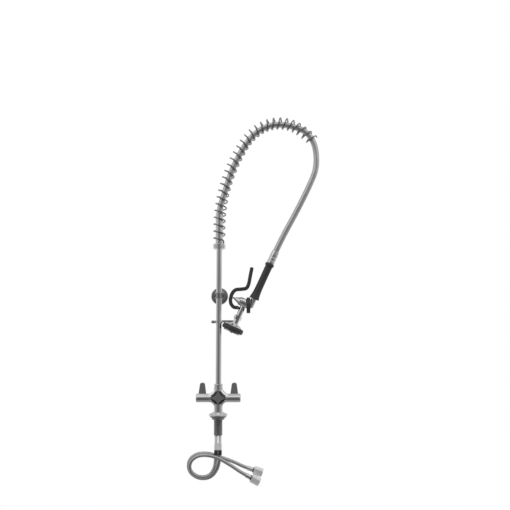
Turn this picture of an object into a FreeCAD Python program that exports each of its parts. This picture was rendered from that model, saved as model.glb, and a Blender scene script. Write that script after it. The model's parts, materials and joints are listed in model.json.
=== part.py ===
import FreeCAD, Part
import math
import os

# Pre rinse faucet. Millimetres, +Z up the riser, +X towards the spray valve, +Y to the wall.
# The origin is on the shank's axis in the deck plane.

Vec = FreeCAD.Vector
UP, RIGHT, BACK = Vec(0, 0, 1), Vec(1, 0, 0), Vec(0, 1, 0)

# clearances
press = 0.05          # radial, pieces pushed together for good
running = 0.06        # radial, pieces that turn or slide in each other
apart = 0.3           # between faces of different bodies
over = 1.0            # how far a cutter runs past the face it opens
corner_share = 0.45   # share of the shorter run that a cord's bend takes at each end
edge_share = 0.96     # most of an edge that the roundings at its ends take together

# mixer body
barrel_radius = 14.4
barrel_top = 108.3
barrel_chamfer = 1.5
arm_radius = 14.2
arm_height = 62.2
arm_reach = 38.0
upper_web = 20.0      # size of the webs between the arms and the barrel
lower_web = 13.0
web_depth = 8.0       # half the depth of the webs
star_front = 15.6     # the star facet's distance in front of the axis
star_side, star_up, star_down = 26.0, 26.0, 20.0
star_waist = 10.0
mix_bore = 6.0
supply_bore = 3.2
valve_bore_start = 4.0

# base
gasket_radius, gasket_height = 27.0, 3.5
flange_radius, flange_top = 31.0, 16.0
flange_rim = 5.5
shank_radius = 14.3
shank_length = 59.5
shank_wall = 2.4
shank_chamfer = 2.0
spigot_rise = 11.5
washer_radius, washer_height = 22.5, 2.5
nut_radius, nut_thick = 21.0, 5.5

# handles
handle_end = 70.0
cap_height = 4.7
blade_start, blade_end = 40.2, 66.3
blade_top = 113.2
blade_top_width = 16.0
blade_thick = 5.5
blade_round = 6.8
cartridge_radius = 10.6
cartridge_start, cartridge_end = 13.0, 44.0
spindle_radius = 3.95
spindle_head = 5.0
screw_radius = 2.0
screw_head = 4.2

# riser, bracket and finger hook
riser_radius, riser_wall = 9.5, 1.3
riser_foot = 84.0
seal_radius, seal_height = 10.9, 3.0
seal_drop = 7.1       # from the barrel's top to its seal
bracket_height = 404.6
bracket_ring, bracket_ring_height = 13.0, 20.8
ear_reach, ear_height, ear_thick = 20.5, 15.0, 4.0
ear_screw = 16.0
wall_distance = 50.0
rod_radius = 6.2
disc_radius, disc_thick = 29.5, 5.0
boss_radius, boss_thick = 18.5, 7.0
hook_drop, hook_height = 5.5, 9.5      # the collar, from the spray neck's middle
hook_collar = 12.75
finger_drop, finger_height = 1.6, 6.2
finger_width = 6.0
cradle_width = 6.0
cradle_sweep = 82.0
thumb_reach, thumb_radius = 24.7, 4.75

# foot of the overhead spring
seat_low, seat_radius, seat_thick = 564.0, 21.25, 6.5
swivel_thick = 10.5
spring_body_radius, spring_body_length = 13.0, 108.5
hose_socket = 12.0
swivel_seal_rise = 16.0
riser_entry = 12.0    # the riser's top above the swivel's seal

# overhead spring: a straight start, then arcs of radius and angle
coil_radius, coil_wire = 19.0, 5.0
coil_turns, coil_start = 29.0, 0.705
arch_straight = 40.3
arch_arcs = ((563.8, 31.74), (183.5, 22.62), (125.2, 70.22), (348.6, 10.04))

# overhead hose: route in the X-Z plane
hose_radius, hose_bore = 10.2, 6.5
hose_points = (
    (0.0, 704.6), (15.5, 752.7), (42.3, 844.3), (92.7, 941.0), (139.5, 986.9),
    (193.0, 1005.9), (252.3, 998.7), (305.1, 977.6), (334.3, 929.2), (338.0, 852.1),
    (317.3, 796.9), (269.2, 699.5))
hose_bend = 99.2      # last bend and end of the hose, up the spray valve's axis
hose_end = 38.0

# spray valve: its slanted axis and its side axis cross at this place
crossing_x, crossing_z = 108.3, 369.77
spray_tilt = 24.68
ferrule_radius, ferrule_top = 13.2, 50.0
stem_radius, stem_bore = 5.5, 3.5
stem_head, stem_head_height = 7.0, 4.0
collar_radius, collar_low, collar_top = 15.4, 5.0, 4.0
grip_radius, grip_flare, grip_length = 12.5, 17.0, 128.0
flare_length = 40.0
tube_radius, tube_bore = 8.0, 5.0
inlet_radius = 9.0
elbow_wall = 0.9
socket_drop, socket_depth = 8.0, 10.0
inlet_drop = 26.0     # from the grip's end to the side axis of the valve
drum_radius, drum_start, drum_end = 15.0, 10.0, 36.0
chamber_radius = 9.0
seat_face, seat_wall, seat_bore = 17.3, 2.7, 4.5
plunger_bore = 7.5
outlet_x, outlet_radius, outlet_bore = 23.0, 9.5, 5.5
hex_flats = 23.4
nut_drop, nut_height = 48.0, 14.0      # drops are below the side axis
shell_neck, shell_rim, shell_wall = 9.8, 29.5, 1.9
dome_drop, dome_height = 77.0, 12.0
bumper_radius, bumper_drop, bumper_height = 37.5, 86.5, 18.0
bumper_round = 6.5
face_radius, face_thick = 28.5, 4.0
jet_radius = 1.1
jet_rings = (9.0, 15.5, 22.0)
first_jet_count, more_jet_count = 8, 6
bonnet_radius, bonnet_tip, bonnet_end = 14.5, 5.5, 59.0
plunger_radius = 2.9
plunger_inner = 9.0
washer_disc = 7.0

# lever: centre line in the X-Z plane, from where the grip's and the side axis cross
lever_points = (
    (4.1, 131.2), (-1.3, 104.2), (-6.9, 73.2), (-13.9, 58.7), (-32.3, 56.2),
    (-52.8, 55.2), (-64.5, 41.2), (-69.7, 20.2), (-67.3, 5.2), (-57.8, -5.6))
lever_thick, lever_width, lever_round = 12.2, 19.0, 4.6
pivot_x, pivot_z = -44.1, -6.17
eye_radius, pin_radius, lug_thick = 5.2, 2.0, 6.0
plunger_spring_radius, plunger_spring_wire, plunger_spring_turns = 4.6, 1.0, 4.5

# hold-down ring, from the same crossing
ring_x, ring_z, ring_thick = -7.9, 1.54, 12.6
ring_inner, ring_outer = 22.0, 27.0

# tails
tail_offset = 6.45
tail_stem, tail_stem_bore = 5.1, 4.0
tail_ferrule, tail_ferrule_top, tail_ferrule_low = 6.25, 84.4, 107.0
sleeve_length = 16.0
tail_radius, tail_bore = 5.7, 3.5
barb_length = 12.0
hot_points = (
    (-6.45, 0, -131), (-11, -5, -167), (-30, -6.5, -191), (-65, -7, -193),
    (-92.5, -8.5, -172), (-91.5, -10, -142), (-65, -12, -122.5), (-30, -14, -121.5),
    (4, -14.4, -131), (47, -14.2, -156), (75.2, -13.5, -175.5), (91.2, -13.5, -183.8))
cold_points = (
    (6.45, 0, -131), (-1, 5, -171), (-26, 6.5, -199), (-67, 7, -200.5),
    (-98.5, 8.5, -176), (-98, 10.5, -139.5), (-69, 12, -119.5), (-30, 14, -119.5),
    (6, 14.4, -131.5), (55, 14.2, -148.5), (79.8, 13.5, -161), (97.8, 13.5, -167))
end_ferrule_radius, end_ferrule_length = 7.5, 19.0
spacer_radius, spacer_length = 8.5, 2.7
tailpiece_radius, tailpiece_flange, flange_length = 6.0, 9.0, 3.0
swivel_nut_flats, swivel_nut_length = 24.6, 30.0
swivel_nut_lip, swivel_nut_bore, swivel_nut_relief = 3.5, 10.5, 10.9
tail_gasket_height = 2.0


# shared shapes

def spans(points, radii, closed):
    # how much of its edges each corner takes, so that two roundings never meet
    count, taken = len(points), []
    lengths = [(points[(i + 1) % count] - at).Length for i, at in enumerate(points)]
    for i, radius in enumerate(radii):
        if not radius or not (closed or 0 < i < count - 1):
            taken.append(0.0)
        elif radius == math.inf:
            taken.append(corner_share * min(lengths[i - 1], lengths[i]))
        else:
            back, on = points[i - 1] - points[i], points[(i + 1) % count] - points[i]
            taken.append(min(radius / math.tan(back.getAngle(on) / 2), lengths[i - 1], lengths[i]))
    for i in range(count):
        both = taken[i] + taken[(i + 1) % count]
        if both > edge_share * lengths[i]:
            taken[i] *= edge_share * lengths[i] / both
            taken[(i + 1) % count] *= edge_share * lengths[i] / both
    return taken


def chain(points, radii, closed):
    # a wire of straight edges and arcs through rounded corners, and the arcs' radii
    count, turns, bends = len(points), [], []
    for i, (at, cut) in enumerate(zip(points, spans(points, radii, closed))):
        if cut:
            back, on = (points[i - 1] - at).normalize(), (points[(i + 1) % count] - at).normalize()
            half = back.getAngle(on) / 2
            bend, middle = cut * math.tan(half), (back + on).normalize()
            nearest = at + middle * (bend / math.sin(half) - bend)
            turns.append((at + back * cut, nearest, at + on * cut))
            bends.append(bend)
        else:
            turns.append((at, None, at))
    edges = []
    for i, (start, middle, end) in enumerate(turns):
        if middle:
            edges.append(Part.Arc(start, middle, end).toShape())
        if closed or i < count - 1:
            edges.append(Part.LineSegment(end, turns[(i + 1) % count][0]).toShape())
    return Part.Wire(edges), bends


def rod(radius, low, high, x=0.0, y=0.0):
    return Part.makeCylinder(radius, high - low, Vec(x, y, low))


def tube(outer, inner, low, high, x=0.0, y=0.0):
    return rod(outer, low, high, x, y).cut(rod(inner, low - over, high + over, x, y))


def turned(outline):
    # corners are (radius, height) or (radius, height, rounding)
    points = [Vec(p[0], 0, p[1]) for p in outline]
    wire, _ = chain(points, [p[2] if len(p) > 2 else 0 for p in outline], True)
    return Part.Face(wire).revolve(Vec(), UP, 360)


def prism(outline, front, back):
    points = [Vec(p[0], front, p[1]) for p in outline]
    wire, _ = chain(points, [p[2] if len(p) > 2 else 0 for p in outline], True)
    return Part.Face(wire).extrude(BACK * (back - front))


def aim(shape, direction, base=Vec()):
    # turns a shape built up the Z axis to another direction
    turn = FreeCAD.Placement(base, FreeCAD.Rotation(UP, direction))
    moved = shape.copy()
    moved.Placement = turn.multiply(moved.Placement)
    return moved


def hexagon(flats, low, high):
    corners = [Vec(flats / math.sqrt(3) * math.cos(math.radians(60 * i)),
                   flats / math.sqrt(3) * math.sin(math.radians(60 * i)), low) for i in range(6)]
    block = Part.Face(Part.makePolygon(corners + corners[:1])).extrude(UP * (high - low))
    bevel = flats / 12
    crown = turned([(0, low), (flats / 2, low), (flats / 2 + bevel * 2, low + bevel),
                    (flats / 2 + bevel * 2, high - bevel), (flats / 2, high), (0, high)])
    return block.common(crown)


def export(name, *solids):
    shape = solids[0] if len(solids) == 1 else Part.makeCompound(list(solids))
    shape.exportStep("parts/%s.step" % name)
    print(name, len(shape.Solids), round(shape.Volume), shape.isValid())


def both_sides(name, shape):
    export("cold_" + name, shape)
    export("hot_" + name, shape.mirror(Vec(), RIGHT))


def cord(name, points, outer, inner):
    wire, bends = chain(points, [math.inf] * len(points), False)
    heading = (points[1] - points[0]).normalize()
    skin, hollow = [wire.makePipeShell([Part.Wire(Part.Circle(points[0], heading, r).toShape())], True)
                    for r in (outer, inner)]
    shape = skin.cut(hollow)
    share = shape.Volume / (math.pi * (outer ** 2 - inner ** 2) * wire.Length)
    print(name, "length", round(wire.Length, 1), "bends", [round(b) for b in bends],
          "volume share", round(share, 3))
    export(name, shape)
    return wire.Length


# wound pieces: a centre line of arcs, and a wire wound round it

class Winding:
    def __init__(self, straight, arcs, radius, turns, first):
        self.runs = [(straight, math.inf)] + [(r * math.radians(a), r) for r, a in arcs]
        self.radius, self.first = radius, first
        self.length = sum(length for length, _ in self.runs)
        shares = [length * self.stretch(r) for length, r in self.runs]
        self.pace = (turns - first) / sum(shares)

    def stretch(self, r):
        return 1.0 if r == math.inf else (r + self.radius) / r

    def at(self, s):
        x, z, heading, turn = 0.0, 0.0, 0.0, self.first
        for i, (length, r) in enumerate(self.runs):
            step = s if i == len(self.runs) - 1 else min(s, length)
            if r == math.inf:
                x, z = x + step * math.sin(heading), z + step * math.cos(heading)
            else:
                after = heading + step / r
                x += r * (math.cos(heading) - math.cos(after))
                z += r * (math.sin(after) - math.sin(heading))
                heading = after
            turn += step * self.stretch(r) * self.pace
            s -= step
            if s <= 0:
                break
        return x, z, heading, turn

    def point(self, s):
        x, z, heading, turn = self.at(s)
        angle = 2 * math.pi * turn
        outward = Vec(-math.cos(heading), 0, math.sin(heading))
        return Vec(x, 0, z) + outward * (self.radius * math.cos(angle)) + BACK * (
            self.radius * math.sin(angle))

    def heading(self, s):
        small = self.length / 1e6
        return (self.point(s + small) - self.point(s - small)).normalize()

    def stations(self):
        # quarter turns
        last = self.at(self.length)[3]
        count = int(round((last - self.first) * 4))
        found = []
        for i in range(count + 1):
            target = self.first + (last - self.first) * i / count
            low, high = 0.0, self.length
            for _ in range(50):
                middle = (low + high) / 2
                low, high = (middle, high) if self.at(middle)[3] < target else (low, middle)
            found.append((low + high) / 2)
        return found


def biarc(start, heading, end, leaving):
    # two arcs that meet in line, from a point and direction to another
    across, both = end - start, heading + leaving
    a, b, c = both.dot(both) - 4, -2 * across.dot(both), across.dot(across)
    root = math.sqrt(b * b - 4 * a * c)
    reach = max((-b + root) / (2 * a), (-b - root) / (2 * a))
    first, second = start + heading * reach, end - leaving * reach
    meet = (first + second) * 0.5
    arcs, tightest = [], math.inf
    for one, apex, two in ((start, first, meet), (meet, second, end)):
        foot = (one + two) * 0.5
        rise, leg = (apex - foot).Length, (one - foot).Length
        slope = (one - apex).Length
        bend = slope * leg / rise
        top = apex + (foot - apex) * ((math.hypot(slope, bend) - bend) / rise)
        arcs.append(Part.Arc(one, top, two).toShape())
        tightest = min(tightest, bend)
    return arcs, tightest


def wound(name, winding, wire_size, lead):
    # lead is a run of points before the first turn, rounded like a cord's
    stops = winding.stations()
    edges, tightest = [], math.inf
    for one, two in zip(stops, stops[1:]):
        arcs, bend = biarc(winding.point(one), winding.heading(one),
                           winding.point(two), winding.heading(two))
        edges += arcs
        tightest = min(tightest, bend)
    start, entry = winding.point(0), winding.heading(0)
    end, leaving = winding.point(winding.length), winding.heading(winding.length)
    if lead:
        foot, bend = lead
        arcs, turn = biarc(foot + UP * bend, UP, start, entry)
        edges = [Part.LineSegment(foot, foot + UP * bend).toShape()] + arcs + edges
        tightest = min(tightest, turn)
        start, entry = foot, UP
    else:
        edges = [Part.LineSegment(start - entry * wire_size, start).toShape()] + edges
        start = start - entry * wire_size
    edges.append(Part.LineSegment(end, end + leaving * wire_size).toShape())
    path = Part.Wire(edges)
    shape = path.makePipeShell([Part.Wire(Part.Circle(start, entry, wire_size / 2).toShape())], True)
    marks = [winding.point(s * winding.length / 1200) for s in range(1201)]
    turn_marks = int(1201 / (winding.at(winding.length)[3] - winding.first) * 0.6)
    gap = min((a - b).Length for i, a in enumerate(marks)
              for b in marks[i + turn_marks:i + 3 * turn_marks]) - wire_size
    print(name, "tightest bend", round(tightest, 1), "least gap to itself", round(gap, 2),
          "volume share", round(shape.Volume / (path.Length * math.pi * wire_size ** 2 / 4), 3))
    return shape


os.makedirs("parts", exist_ok=True)

# base
export("base_gasket", tube(gasket_radius, shank_radius + press, 0, gasket_height))
flange_bore = barrel_radius + press
export("base_flange", turned([
    (flange_bore, gasket_height), (flange_radius - 1.2, gasket_height, 1),
    (flange_radius, gasket_height + flange_rim / 2, 1), (flange_radius, gasket_height + flange_rim, 1.5),
    (flange_bore + 1.5, flange_top, 1), (flange_bore, flange_top)]))
export("mounting_washer", tube(washer_radius, shank_radius + running, -washer_height, 0))
nut_foot = -washer_height - nut_thick
export("mounting_nut", turned([
    (shank_radius + running, nut_foot), (nut_radius, nut_foot, 1), (nut_radius, -washer_height),
    (shank_radius + running, -washer_height)]))
shank_bore = shank_radius - shank_wall
spigot_radius = shank_radius - shank_wall / 2
spigot_top = gasket_height + spigot_rise
export("threaded_shank", turned([
    (shank_bore, -shank_length), (shank_radius - shank_chamfer, -shank_length),
    (shank_radius, -shank_length + shank_chamfer), (shank_radius, gasket_height),
    (spigot_radius, gasket_height), (spigot_radius, spigot_top), (shank_bore, spigot_top)]))

# mixer body: barrel and arms joined by a star with hollow flanks
body = turned([
    (0, gasket_height), (barrel_radius, gasket_height), (barrel_radius, barrel_top - barrel_chamfer),
    (barrel_radius - barrel_chamfer, barrel_top), (0, barrel_top)])
body = body.fuse(aim(rod(arm_radius, -arm_reach, arm_reach), RIGHT, UP * arm_height))


def star(side, up, down, waist, tip, y):
    # four points with hollow flanks; the tips are blunt by a small width
    tops = ((tip, up), (-tip, up), (-side, tip), (-side, -tip), (-tip, -down), (tip, -down),
            (side, -tip), (side, tip))
    points = [Vec(a, y, arm_height + b) for a, b in tops]
    middles = {1: (-waist, waist), 3: (-waist, -waist * down / up), 5: (waist, -waist * down / up),
               7: (waist, waist)}
    edges = []
    for i, at in enumerate(points):
        after = points[(i + 1) % len(points)]
        if i in middles:
            a, b = middles[i]
            edges.append(Part.Arc(at, Vec(a, y, arm_height + b), after).toShape())
        else:
            edges.append(Part.LineSegment(at, after).toShape())
    return Part.Wire(edges)


web_round = 1 - math.sqrt(0.5)
web_tip = 12.4
web_side, web_up = arm_radius + upper_web, barrel_radius + upper_web
web_down = barrel_radius + lower_web
web_waist = (barrel_radius + arm_radius) / 2 + upper_web * web_round
outer_star = [star(web_side, web_up, web_down, web_waist, web_tip, y) for y in (-web_depth, web_depth)]
inner_star = [star(star_side, star_up, star_down, star_waist, over, y) for y in (-star_front, star_front)]
body = body.fuse([Part.makeLoft(outer_star, True, True),
                  Part.makeLoft([inner_star[0], outer_star[0]], True, True),
                  Part.makeLoft([outer_star[1], inner_star[1]], True, True)])
stem_floor = spigot_top + 9.0
body = body.cut(rod(spigot_radius + press, gasket_height - over, spigot_top))
for side in (-1, 1):
    body = body.cut(rod(tail_stem + press, spigot_top - over, stem_floor, side * tail_offset))
    body = body.cut(rod(supply_bore, stem_floor - over, arm_height, side * tail_offset))
    body = body.cut(aim(rod(cartridge_radius + press, valve_bore_start, arm_reach + over),
                        RIGHT * side, UP * arm_height))
body = body.cut(rod(mix_bore, arm_height, riser_foot + over))
body = body.cut(rod(riser_radius + press, riser_foot, barrel_top + over))
seal_room = seal_radius + press
body_seal_height = barrel_top - seal_drop - seal_height
body = body.cut(rod(seal_room, body_seal_height - press, body_seal_height + seal_height + press))
export("mixer_body", body.removeSplitter())

# cartridges, spindles and handles, built for the cold side and mirrored
to_arm = Vec(RIGHT)
arm_base = UP * arm_height
spindle_start = cartridge_start + 9.0
hub_start = arm_reach + apart
socket_start = cartridge_end + 2.3
socket_end = socket_start + 12.0
head_start = socket_end + 6.0
head_height = 3.0
both_sides("cartridge", aim(turned([
    (spindle_radius + 1.2, cartridge_start), (cartridge_radius, cartridge_start, 0.8),
    (cartridge_radius, cartridge_end, 0.8), (spindle_radius + running, cartridge_end),
    (spindle_radius + running, spindle_start), (spindle_radius + 1.2, spindle_start)]),
    to_arm, arm_base))
both_sides("spindle", aim(turned([
    (0, spindle_start + apart), (spindle_radius, spindle_start + apart), (spindle_radius, socket_start),
    (spindle_head, socket_start), (spindle_head, socket_end - press),
    (screw_radius + press, socket_end - press), (screw_radius + press, socket_start + 2),
    (0, socket_start + 2)]), to_arm, arm_base))
both_sides("handle_screw", aim(turned([
    (0, socket_start + 2 + apart), (screw_radius, socket_start + 2 + apart), (screw_radius, head_start),
    (screw_head, head_start), (screw_head, head_start + head_height, 0.5), (0, head_start + head_height)]),
    to_arm, arm_base))
both_sides("handle_cap", aim(turned([
    (0, head_start + head_height), (screw_head, head_start + head_height), (screw_head, handle_end),
    (arm_radius, handle_end), (arm_radius, handle_end + cap_height, 3.6), (0, handle_end + cap_height)]),
    to_arm, arm_base))
hub_room = cartridge_radius + apart
hub = aim(turned([
    (hub_room, hub_start), (arm_radius, hub_start, 0.8), (arm_radius, handle_end),
    (screw_head + press, handle_end), (screw_head + press, head_start), (screw_radius + press, head_start),
    (screw_radius + press, socket_end), (spindle_head + press, socket_end),
    (spindle_head + press, socket_start), (hub_room, socket_start)]), to_arm, arm_base)
blade_foot = arm_height + (hub_room + arm_radius) / 2
blade_middle = (blade_start + blade_end) / 2
blade = prism([
    (blade_start, blade_foot), (blade_end, blade_foot), (blade_end, arm_height + arm_radius + 1.5, 4),
    (blade_middle + blade_top_width / 2, blade_top, blade_round),
    (blade_middle - blade_top_width / 2, blade_top, blade_round),
    (blade_start, arm_height + arm_radius + 1.5, 4)], -blade_thick / 2, blade_thick / 2)
rims = [e for e in blade.Edges if e.BoundBox.ZMax > arm_height + arm_radius and e.BoundBox.YLength < press]
blade = blade.makeFillet(blade_thick / 4, rims)
both_sides("handle", hub.fuse(blade).removeSplitter())

# riser with its seal
seat_high = seat_low + seat_thick
collar_high = seat_high + swivel_thick
swivel_seal_height = collar_high + swivel_seal_rise
riser_top = swivel_seal_height + seal_height + riser_entry
export("riser_pipe", tube(riser_radius, riser_radius - riser_wall, riser_foot, riser_top))
export("riser_seal", tube(seal_radius, riser_radius + press / 2, body_seal_height,
                          body_seal_height + seal_height))

# wall bracket: rod with a rear half clamp, front half, screws and wall flange
clamp_hole = rod(riser_radius + press, bracket_height - bracket_ring_height,
                 bracket_height + bracket_ring_height)


def half_clamp(side):
    ring = turned([
        (0, bracket_height - bracket_ring_height / 2),
        (bracket_ring, bracket_height - bracket_ring_height / 2, 1.5),
        (bracket_ring, bracket_height + bracket_ring_height / 2, 1.5),
        (0, bracket_height + bracket_ring_height / 2)])
    low, high = bracket_height - ear_height / 2, bracket_height + ear_height / 2
    near, far = sorted((side * apart, side * (apart + ear_thick)))
    ears = prism([(-ear_reach, low, 3), (ear_reach, low, 3), (ear_reach, high, 3), (-ear_reach, high, 3)],
                 near, far)
    whole = ring.fuse(ears)
    reach = ear_reach * 2
    keep = Part.makeBox(reach * 2, reach, reach * 2, Vec(-reach, apart if side > 0 else -reach - apart,
                                                          bracket_height - reach))
    return whole.common(keep).cut(clamp_hole)


rear, front = half_clamp(1), half_clamp(-1)
screws = []
for x in (-ear_screw, ear_screw):
    at = Vec(x, 0, bracket_height)
    rear = rear.cut(aim(rod(screw_radius + press, -ear_thick * 2, ear_thick * 2), BACK, at))
    front = front.cut(aim(rod(screw_radius + press, -ear_thick * 2, ear_thick * 2), BACK, at))
    head = -apart - ear_thick
    screws.append(aim(turned([
        (0, head - 2.4), (screw_head - 0.7, head - 2.4, 1), (screw_head - 0.7, head),
        (screw_radius, head), (screw_radius, apart + ear_thick), (0, apart + ear_thick)]), BACK, at))
rod_start = math.sqrt(bracket_ring ** 2 - rod_radius ** 2) - 2
axis_base = UP * bracket_height
arm = rear.fuse(aim(rod(rod_radius, rod_start, wall_distance - press), BACK, axis_base).cut(clamp_hole))
export("wall_bracket_arm", arm.removeSplitter())
export("clamp_front", front.removeSplitter())
export("clamp_screws", *screws)
disc_front, boss_front = wall_distance - disc_thick, wall_distance - disc_thick - boss_thick
export("wall_flange", aim(turned([
    (rod_radius + press, boss_front), (boss_radius - 3.5, boss_front, 2),
    (boss_radius, disc_front - 0.8, 1.5), (disc_radius - 4.5, disc_front, 0.5),
    (disc_radius - 2.6, disc_front - 1.8, 1.2),
    (disc_radius, disc_front + 1.2, 1.5), (disc_radius, wall_distance), (rod_radius + press, wall_distance)]),
    BACK, axis_base))

# spray valve's slanted frame and depths along it
socket_top = grip_length + socket_drop
socket_floor = socket_top + socket_depth
inlet_depth = grip_length + inlet_drop
nut_top = inlet_depth + nut_drop
nut_low = nut_top + nut_height
dome_top = inlet_depth + dome_drop
dome_foot = dome_top + dome_height
bumper_high = inlet_depth + bumper_drop
bumper_low = bumper_high + bumper_height
lean = FreeCAD.Rotation(BACK, spray_tilt)
side_axis, spray_axis = lean.multVec(RIGHT), lean.multVec(UP)
crossing = Vec(crossing_x, 0, crossing_z)
tilt = FreeCAD.Placement(crossing + spray_axis * inlet_depth, lean)


def slanted(shape):
    moved = shape.copy()
    moved.Placement = tilt.multiply(moved.Placement)
    return moved


def sideways(outline):
    # turned about the slanted side axis; heights run from the grip's axis towards the lever
    return aim(turned(outline), RIGHT * -1, UP * -inlet_depth)


# finger hook on the riser, its cradle round the spray valve's neck
neck_at = tilt.multVec(Vec(-outlet_x, 0, -(nut_low + dome_top) / 2))
hook_low, finger_low = neck_at.z - hook_drop, neck_at.z - finger_drop
hook_high, finger_high = hook_low + hook_height, finger_low + finger_height
finger_middle = (finger_low + finger_high) / 2
cradle_x = neck_at.x + (finger_middle - neck_at.z) * spray_axis.x / spray_axis.z
cradle_inner = shell_neck / spray_axis.z + apart
cradle = tube(cradle_inner + cradle_width, cradle_inner, finger_low, finger_high, cradle_x)
sector_reach = cradle_inner + cradle_width * 2
start_angle, end_angle = math.radians(180.0), math.radians(180.0 - cradle_sweep)
half_angle = (start_angle + end_angle) / 2
cradle_at = Vec(cradle_x, 0, finger_low)
sector = Part.Face(Part.makePolygon([cradle_at] + [
    cradle_at + Vec(reach * math.cos(angle), reach * math.sin(angle), 0) for reach, angle in (
        (sector_reach, start_angle), (sector_reach * 2, half_angle), (sector_reach, end_angle))] + [
    cradle_at])).extrude(UP * finger_height)
cradle = cradle.common(sector)
finger = Part.makeBox(cradle_x - cradle_inner - cradle_width / 2 - riser_radius, finger_width,
                      finger_high - finger_low, Vec(riser_radius, 0, finger_low))
neck_room = slanted(rod(shell_neck + apart * 1.6, -dome_top - over, -nut_top, -outlet_x))
hook = tube(hook_collar, riser_radius, hook_low, hook_high).fuse([finger, cradle]).cut(neck_room)
hook = hook.cut(rod(riser_radius + press, hook_low - over, finger_high + over))
thumb_at = UP * (hook_low + hook_high) / 2
thumb_thread = 3.0
hook = hook.cut(aim(rod(thumb_thread + press, riser_radius - over, hook_collar + over), RIGHT * -1, thumb_at))
hook = hook.removeSplitter()
tips = [e for e in hook.Edges if e.BoundBox.XMin > cradle_x - cradle_inner / 2
        and e.BoundBox.ZLength > (finger_high - finger_low) * 0.9 and e.BoundBox.YMin > over]
export("finger_hook", hook.makeFillet(cradle_width / 3, tips) if tips else hook)
thumb_start = hook_collar + 1.5
export("hook_thumb_screw", aim(turned([
    (0, riser_radius + press), (thumb_thread, riser_radius + press), (thumb_thread, thumb_start),
    (thumb_radius, thumb_start, 0.8), (thumb_radius, thumb_reach, 1.2), (0, thumb_reach)]),
    RIGHT * -1, thumb_at))

# foot of the overhead spring
export("spring_seat", turned([
    (riser_radius + press, seat_low), (seat_radius, seat_low, 1.2), (seat_radius, seat_high, 0.6),
    (riser_radius + press, seat_high)]))
swivel_bore = riser_radius + running
export("swivel_collar", turned([
    (swivel_bore, seat_high + apart), (seat_radius, seat_high + apart, 0.6),
    (seat_radius, collar_high, 1.2), (swivel_bore, collar_high)]))
spring_body_top = collar_high + spring_body_length
socket_low = spring_body_top - hose_socket
export("spring_body", turned([
    (swivel_bore, collar_high), (spring_body_radius, collar_high), (spring_body_radius, spring_body_top, 1.2),
    (hose_radius + press, spring_body_top), (hose_radius + press, socket_low), (hose_bore, socket_low),
    (hose_bore, riser_top + 1.5), (swivel_bore, riser_top + 1.5),
    (swivel_bore, swivel_seal_height + seal_height + press),
    (seal_room, swivel_seal_height + seal_height + press), (seal_room, swivel_seal_height - press),
    (swivel_bore, swivel_seal_height - press)]))
export("swivel_seal", tube(seal_radius, riser_radius + press / 2, swivel_seal_height,
                           swivel_seal_height + seal_height))

# overhead spring and hose
coil = Winding(arch_straight, arch_arcs, coil_radius, coil_turns, coil_start)
leg = coil_wire * 1.2
coil_foot = leg + coil_wire * 1.6
back_step = coil.heading(0) * -(coil_wire * 2.2)
foot_at = coil.point(0) + Vec(back_step.x, back_step.y, 0)
spring_shape = wound("overhead_spring", coil, coil_wire,
                     (Vec(foot_at.x, foot_at.y, -coil_foot), leg))
spring_shape.translate(UP * (collar_high + coil_foot))
export("overhead_spring", spring_shape)
hose_route = [Vec(0, 0, socket_low)] + [Vec(x, 0, z) for x, z in hose_points] + [
    tilt.multVec(UP * hose_bend), tilt.multVec(UP * hose_end)]
cord("overhead_hose", hose_route, hose_radius, hose_bore)

# ferrule, swivel and grip
export("hose_end_ferrule", slanted(turned([
    (stem_radius + press, collar_top + apart), (ferrule_radius, collar_top + apart, 1),
    (ferrule_radius, ferrule_top * 0.75), (ferrule_radius - 0.9, ferrule_top, 0.6),
    (hose_radius + press, ferrule_top), (hose_radius + press, hose_end), (stem_radius + press, hose_end)])))
export("swivel_stem", slanted(turned([
    (stem_bore, -apart - stem_head_height), (stem_head, -apart - stem_head_height), (stem_head, -apart),
    (stem_radius, -apart), (stem_radius, hose_end - 2), (stem_bore, hose_end - 2)])))
export("grip_collar", slanted(turned([
    (tube_radius + press, -collar_low), (collar_radius, -collar_low, 0.8),
    (collar_radius, collar_top - 1.8, 0.8), (collar_radius - 1.6, collar_top, 0.8),
    (stem_radius + running, collar_top), (stem_radius + running, 0), (tube_radius + press, 0)])))
gasket_low, gasket_top = -stem_head_height - apart * 6, -stem_head_height - apart * 2
head_room = stem_head + apart / 3
export("grip_tube", slanted(turned([
    (tube_bore, -socket_floor + apart), (inlet_radius, -socket_floor + apart), (inlet_radius, -grip_length),
    (tube_radius, -grip_length), (tube_radius, 0), (head_room, 0), (head_room, gasket_low),
    (tube_bore, gasket_low)])))
export("swivel_gasket", slanted(tube(stem_head - apart / 3, stem_bore, gasket_low, gasket_top)))
flare_start = -grip_length + flare_length
export("grip_sleeve", slanted(turned([
    (tube_radius + press, -grip_length), (grip_flare, -grip_length, 1.2),
    (grip_radius + (grip_flare - grip_radius) * 0.35, -grip_length + flare_length / 3, flare_length * 1.5),
    (grip_radius, flare_start, flare_length * 2), (grip_radius, -collar_low - apart, 0.8),
    (tube_radius + press, -collar_low - apart)])))

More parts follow.
